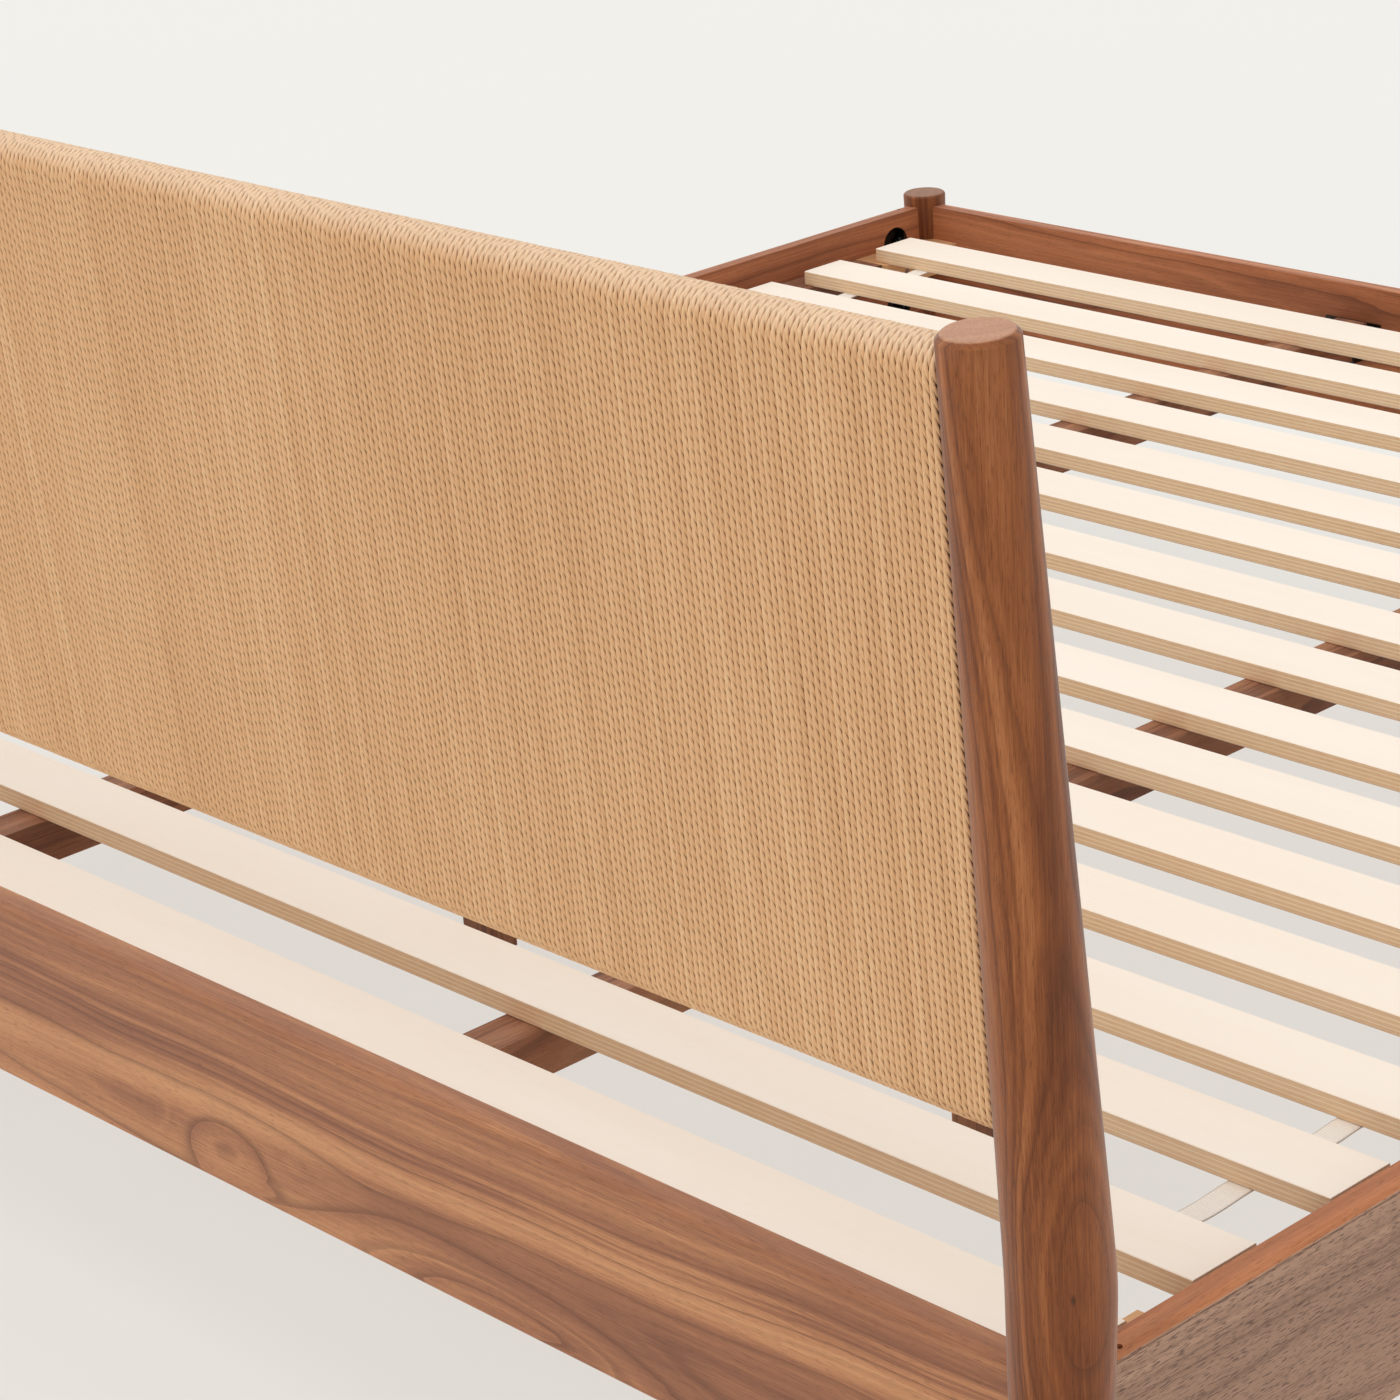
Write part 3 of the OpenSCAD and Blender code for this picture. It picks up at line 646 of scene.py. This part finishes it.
def postRings():
    lower = (bed["kinkZ"] - post["footZ"]) / math.cos(bed["kick"])
    lengths = list(np.linspace(-lower, -0.06, 14)) + list(np.linspace(-0.05, 0.05, 21))
    lengths += list(np.linspace(0.07, post["upper"] - post["rim"], 22))
    rings = []
    for length in lengths:
        ease = math.sqrt(length * length + post["softness"] ** 2 / 4) - post["softness"] / 2
        side = 0.5 + 0.5 * math.tanh(length / post["softness"] * 2)
        lean = -bed["kick"] * (1 - side) + bed["lean"] * side
        back = math.sin(bed["lean"] if length > 0 else bed["kick"]) * ease
        up = length * math.cos(bed["lean"] if length > 0 else bed["kick"])
        if length > 0:
            taper = (post["kinkR"] - post["topR"]) / (post["upper"] - post["rim"])
        else:
            taper = (post["kinkR"] - post["footR"]) / lower
        rings.append((back, up, post["kinkR"] - post["within"] - taper * ease, lean))
    back, up, radius, lean = rings[-1]
    for step in range(0, 10):  # bevelled rim with both its edges eased
        turn = math.radians(10 * step)
        share = 0.5 - 0.5 * math.cos(2 * turn)  # 0 to 1
        rise = post["rim"] * (math.sin(turn) * 0.35 + share * 0.65)
        inset = post["rim"] * ((1 - math.cos(turn)) * 0.35 + share * 0.65)
        rings.append((back + rise * math.sin(lean), up + rise * math.cos(lean),
                      radius - inset, lean))
    top = rings[-1]
    rings.append((top[0], top[1], top[2] - 0.0003, lean))
    rings.append((top[0], top[1], top[2] * 0.5, lean))
    return rings


def addPost(side):
    rings = postRings()
    turns = np.linspace(0, 2 * math.pi, post["sides"], endpoint=False)
    points = []
    for back, up, radius, lean in rings:
        points.append(np.stack([
            side * bed["axisX"] + radius * np.cos(turns),
            bed["axisY"] + back + radius * np.sin(turns) * math.cos(lean),
            bed["kinkZ"] + up - radius * np.sin(turns) * math.sin(lean)], 1))
    points[0][:, 2] = post["footZ"]  # the foot is cut level
    faces = gridFaces(len(rings), post["sides"], False, True)
    name = "head_post_left" if side < 0 else "head_post_right"
    made = addPiece("turned_" + name, np.concatenate(points), faces, postWood[side],
                    [name])
    capEnds(made, len(rings), post["sides"])


for side in (-1, 1):
    addPost(side)
print("head posts turned")


# Headboard: three-ply paper cords wound side by side round the inner rails
cord = {
    "count": 410,
    "wide": 0.00252,  # half the width of a cord
    "deep": 0.00225,  # half its depth
    "low": (0.520 - bed["kinkZ"]) / math.cos(bed["lean"]),
    "high": (1.022 - bed["kinkZ"]) / math.cos(bed["lean"]),
    "half": 0.019,  # half the panel's thickness
    "lumps": 134,  # plies seen along one turn
    "lay": 3.7,  # plies passed in one full twist
    "rows": 3,  # rows of points to each ply
    "spots": (0.0, 0.22, 0.78),  # where those rows lie along a ply, the first in the groove
    "columns": 6,
    "arc": (-12, 192),  # degrees of a cord's section that are made
    "swell": 0.03,
    "swells": 7,  # along one turn
    "groove": 0.34,
    "reach": 0.0175,  # depth at which the last cord meets the post
    "wander": 0.00013,
    "slip": 0.0014,
    "drift": (0.10, 0.30),  # mean and spread of the step in ply from one cord to the next
    "seed": 11,
    "layerDeep": 1.35,  # depth of the inner layer, in half cords
    "layerRows": 240,
    "layerColumns": 9,
}


# Height, depth and outward direction on a round-ended loop
def loopPoint(length, middle, low, high):
    straight = high - low - 2 * middle
    bend = math.pi * middle
    total = 2 * straight + 2 * bend
    s = np.mod(length, total)
    height, depth = np.zeros_like(s), np.zeros_like(s)
    outHeight, outDepth = np.zeros_like(s), np.zeros_like(s)
    up = s < straight
    height[up], depth[up] = low + middle + s[up], middle
    outDepth[up] = 1
    over = (s >= straight) & (s < straight + bend)
    turn = (s[over] - straight) / middle
    height[over] = high - middle + middle * np.sin(turn)
    depth[over] = middle * np.cos(turn)
    outHeight[over], outDepth[over] = np.sin(turn), np.cos(turn)
    down = (s >= straight + bend) & (s < 2 * straight + bend)
    height[down], depth[down] = high - middle - (s[down] - straight - bend), -middle
    outDepth[down] = -1
    under = s >= 2 * straight + bend
    turn = (s[under] - 2 * straight - bend) / middle
    height[under] = low + middle - middle * np.sin(turn)
    depth[under] = -middle * np.cos(turn)
    outHeight[under], outDepth[under] = -np.sin(turn), -np.cos(turn)
    return height, depth, outHeight, outDepth, total


def leaned(x, height, depth):  # from the leaned frame of the posts to the bed's
    sine, cosine = math.sin(bed["lean"]), math.cos(bed["lean"])
    return np.stack([x, bed["axisY"] + height * sine + depth * cosine,
                     bed["kinkZ"] + height * cosine - depth * sine], -1)


def wrapWidth(height):  # half the width between the posts
    radius = post["kinkR"] - (post["kinkR"] - post["topR"]) * height / post["upper"]
    return bed["axisX"] - np.sqrt(radius ** 2 - cord["reach"] ** 2) - cord["wide"]


def addCords():
    chance = np.random.RandomState(cord["seed"])
    middle = cord["half"] - cord["deep"]
    low, high = cord["low"] + cord["deep"], cord["high"] - cord["deep"]
    total = loopPoint(np.zeros(1), middle, low, high)[4]
    rows = cord["lumps"] * cord["rows"]
    columns = cord["columns"]
    lump = total / cord["lumps"]
    row = (np.arange(cord["lumps"])[:, None] + np.array(cord["spots"])[None, :]).reshape(-1, 1)
    angle = np.radians(np.linspace(*cord["arc"], columns))[None, :] * np.ones((rows, 1))
    pitch = cord["lay"] * lump
    grooved = np.where(np.arange(rows) % cord["rows"] == 0, 1.0, 0.0)
    depthAt = grooved[:, None] * np.ones((1, columns))
    shape = 1 - cord["groove"] * depthAt
    edge = 1 - np.sin(np.clip(angle, 0, math.pi)) ** 0.7
    allPoints, allLay = [], []
    phase = 0.0
    for index in range(cord["count"]):
        share = (index + 0.5) / cord["count"] * 2 - 1
        phase = phase + chance.normal(*cord["drift"]) * lump
        waves = [(chance.uniform(-1, 1) * cord["wander"], chance.randint(1, 9),
                  chance.uniform(0, 2 * math.pi)) for _ in range(4)]
        slip = chance.uniform(-1, 1) * cord["slip"]
        slipTurns, slipPhase = chance.randint(1, 5), chance.uniform(0, 2 * math.pi)
        length = row * lump + phase - pitch * (angle / (2 * math.pi))
        length = length + slip * np.sin(2 * math.pi * slipTurns * length / total + slipPhase)
        height, depth, outHeight, outDepth, _ = loopPoint(length, middle, low, high)
        turn = 2 * math.pi * length / total
        shift = sum(size * np.sin(count * turn + start) for size, count, start in waves)
        full = shape * (1 + cord["swell"] * np.sin(cord["swells"] * turn + slipPhase))
        x = share * wrapWidth(height) / (1 - 1 / cord["count"]) + shift
        x = x + cord["wide"] * full * np.cos(angle)
        out = cord["deep"] * full * np.sin(angle)
        points = leaned(x, height + outHeight * out, depth + outDepth * out)
        allPoints.append(points.reshape(-1, 3))
        allLay.append(np.stack([angle, length, np.full_like(length, index)], -1).reshape(-1, 3))
    cell = gridFaces(rows, columns, True, False)
    firsts = np.arange(cord["count"]) * rows * columns
    faces = (cell[None] + firsts[:, None, None]).reshape(-1, 4)
    made = addPiece("cord_winding", np.concatenate(allPoints), faces, paperCord("paper_cord"),
                    ["cord_panel"])
    lay = made.data.attributes.new("lay", "FLOAT_VECTOR", "POINT")
    lay.data.foreach_set("vector", np.concatenate(allLay).astype(np.float32).ravel())
    for name, values in (("groove", depthAt), ("edge", edge)):
        field = made.data.attributes.new(name, "FLOAT", "POINT")
        field.data.foreach_set("value", np.tile(values.ravel(), cord["count"]).astype(np.float32))
    print("cords wound:", cord["count"], "with", len(faces), "faces")


def addBacking():  # the inner layer, a dark sheet that gives the painted shade seen between two cords
    inset = cord["deep"] * cord["layerDeep"]
    middle = cord["half"] - inset
    low, high = cord["low"] + inset, cord["high"] - inset
    total = loopPoint(np.zeros(1), middle, low, high)[4]
    length = np.linspace(0, total, cord["layerRows"], endpoint=False)
    height, depth, _, _, _ = loopPoint(length, middle, low, high)
    edges = np.linspace(-1, 1, cord["layerColumns"])
    x = edges[None, :] * wrapWidth(height)[:, None]
    ones = np.ones((1, len(edges)))
    points = leaned(x, height[:, None] * ones, depth[:, None] * ones).reshape(-1, 3)
    faces = gridFaces(len(length), len(edges), True, False)
    finish = plainWood("inner_layer", "X", (0.1, 0.2, 0.3), layerShadeStops)
    addPiece("cord_inner_layer", points, faces, finish, [])


addCords()
addBacking()


# Straps: woven webbing under the slats
strap = {
    "x": 0.907,
    "wide": 0.022,
    "thick": 0.0012,
    "sag": 0.0016,
    "across": 10,
    "step": 0.006,
}


def addStrap(side, finish):
    name = "strap_left" if side < 0 else "strap_right"
    low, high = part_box(name)
    spans = [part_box("slat_%02d" % (i + 1)) for i in range(bed["slats"])]
    count = int((high.y - low.y) / strap["step"])
    along = np.linspace(low.y, high.y, count)
    drop = np.zeros(count)
    for before, after in zip(spans, spans[1:]):
        start, end = before[1].y, after[0].y
        inside = (along > start) & (along < end)
        share = (along[inside] - start) / (end - start)
        drop[inside] = strap["sag"] * np.sin(math.pi * share) ** 2
    half = strap["across"]  # points across one face
    around = np.concatenate([np.linspace(-1, 1, half), np.linspace(1, -1, half)])
    upper = np.concatenate([np.ones(half), np.zeros(half)])
    rim = np.where(np.abs(around) > 0.99, 0.25, 0.0)
    level = np.where(upper > 0.5, 1 - rim, rim)
    points = np.zeros((count, len(around), 3))
    points[..., 0] = (side * strap["x"] + around * strap["wide"] / 2)[None, :]
    points[..., 1] = along[:, None]
    points[..., 2] = bed["slatLow"] + (level[None, :] - 1) * strap["thick"] - drop[:, None]
    faces = gridFaces(count, len(around), False, True)
    made = addPiece("woven_" + name, points.reshape(-1, 3), faces, finish, [name])
    across = made.data.attributes.new("across", "FLOAT", "POINT")
    across.data.foreach_set("value", np.tile(around, count).astype(np.float32))
    capEnds(made, count, len(around))


webCloth = webbing("webbing")
for side in (-1, 1):
    addStrap(side, webCloth)
print("straps laid")


studio = {
    "floor": paint(241, 240, 236),
    "near": paint(233, 228, 223),  # painted shadow on the floor round and under the bed, as the photograph shows it
    "reach": (0.7, 3.0),
    "glow": 0.72,  # share of the floor's look that no shadow darkens
    "size": 14.0,
    "sky": 0.605,
    "skyColour": (1.0, 0.99, 0.98, 1.0),
    "lampColour": (1.0, 0.98, 0.95),
    "lamps": [  # name, power, spread and the side it comes from
        ("key", 0.98, math.radians(50), (1.0, 0.30, 1.25)),
        ("fill", 0.52, math.radians(80), (-1.0, -0.45, 1.0)),
        ("front", 0.45, math.radians(80), (-0.2, 1.0, 0.7)),
    ],
}


def seenStraight(wire):  # 1 where the eye, a shiny face or clear glass looks at it
    seen = [wire.add("LightPath", {}, {}, name)
            for name in ("Is Camera Ray", "Is Glossy Ray", "Is Transmission Ray")]
    return seen[0].larger(seen[1]).larger(seen[2])


def addStudio():
    made, wire = newMaterial("studio_floor")
    here = place(wire)
    tint = here.noise(0.8, 2) * 0.7 + 0.15
    # painted shadow: the floor darkens towards the head of the bed
    fromHead = here.part(1) - bed["axisY"]
    away = (here.part(0) * here.part(0) + fromHead * fromHead).root()
    shade = away.fade(*studio["reach"]) * 0.8 + tint * 0.2
    shade = shade.between(studio["near"], studio["floor"])
    diffuse = wire.add("BsdfPrincipled", {}, {"Base Color": studio["floor"], "Roughness": 0.9,
                                              "Specular IOR Level": 0.1})
    glow = wire.add("Emission", {}, {"Color": shade, "Strength": 1.0})
    mixed = wire.add("MixShader", {}, {
        0: seenStraight(wire) * studio["glow"], 1: diffuse, 2: glow})
    wire.add("OutputMaterial", {}, {"Surface": mixed})
    half = studio["size"]
    mesh = bpy.data.meshes.new("floor")
    mesh.from_pydata([(-half, -half, 0), (half, -half, 0), (half, half, 0), (-half, half, 0)],
                     [], [(0, 1, 2, 3)])
    mesh.materials.append(made)
    floor = bpy.data.objects.new("floor", mesh)
    bpy.context.collection.objects.link(floor)
    world = bpy.data.worlds.new("studio")
    world.use_nodes = True
    world.node_tree.nodes.clear()
    wire = Wire(world.node_tree)
    lit = wire.add("Background", {}, {"Color": studio["skyColour"], "Strength": studio["sky"]})
    shown = wire.add("Background", {}, {"Color": studio["floor"], "Strength": 1.0})
    both = wire.add("MixShader", {}, {0: seenStraight(wire), 1: lit, 2: shown})
    wire.add("OutputWorld", {}, {"Surface": both})
    bpy.context.scene.world = world
    for name, power, spread, side in studio["lamps"]:
        lamp = bpy.data.lights.new(name, "SUN")
        lamp.energy = power
        lamp.angle = spread
        lamp.color = studio["lampColour"]
        hung = bpy.data.objects.new(name, lamp)
        hung.rotation_mode = "QUATERNION"
        hung.rotation_quaternion = Vector(side).to_track_quat("Z", "Y")
        bpy.context.collection.objects.link(hung)


addStudio()
bpy.context.scene.view_settings.view_transform = "Standard"
print("studio lit")
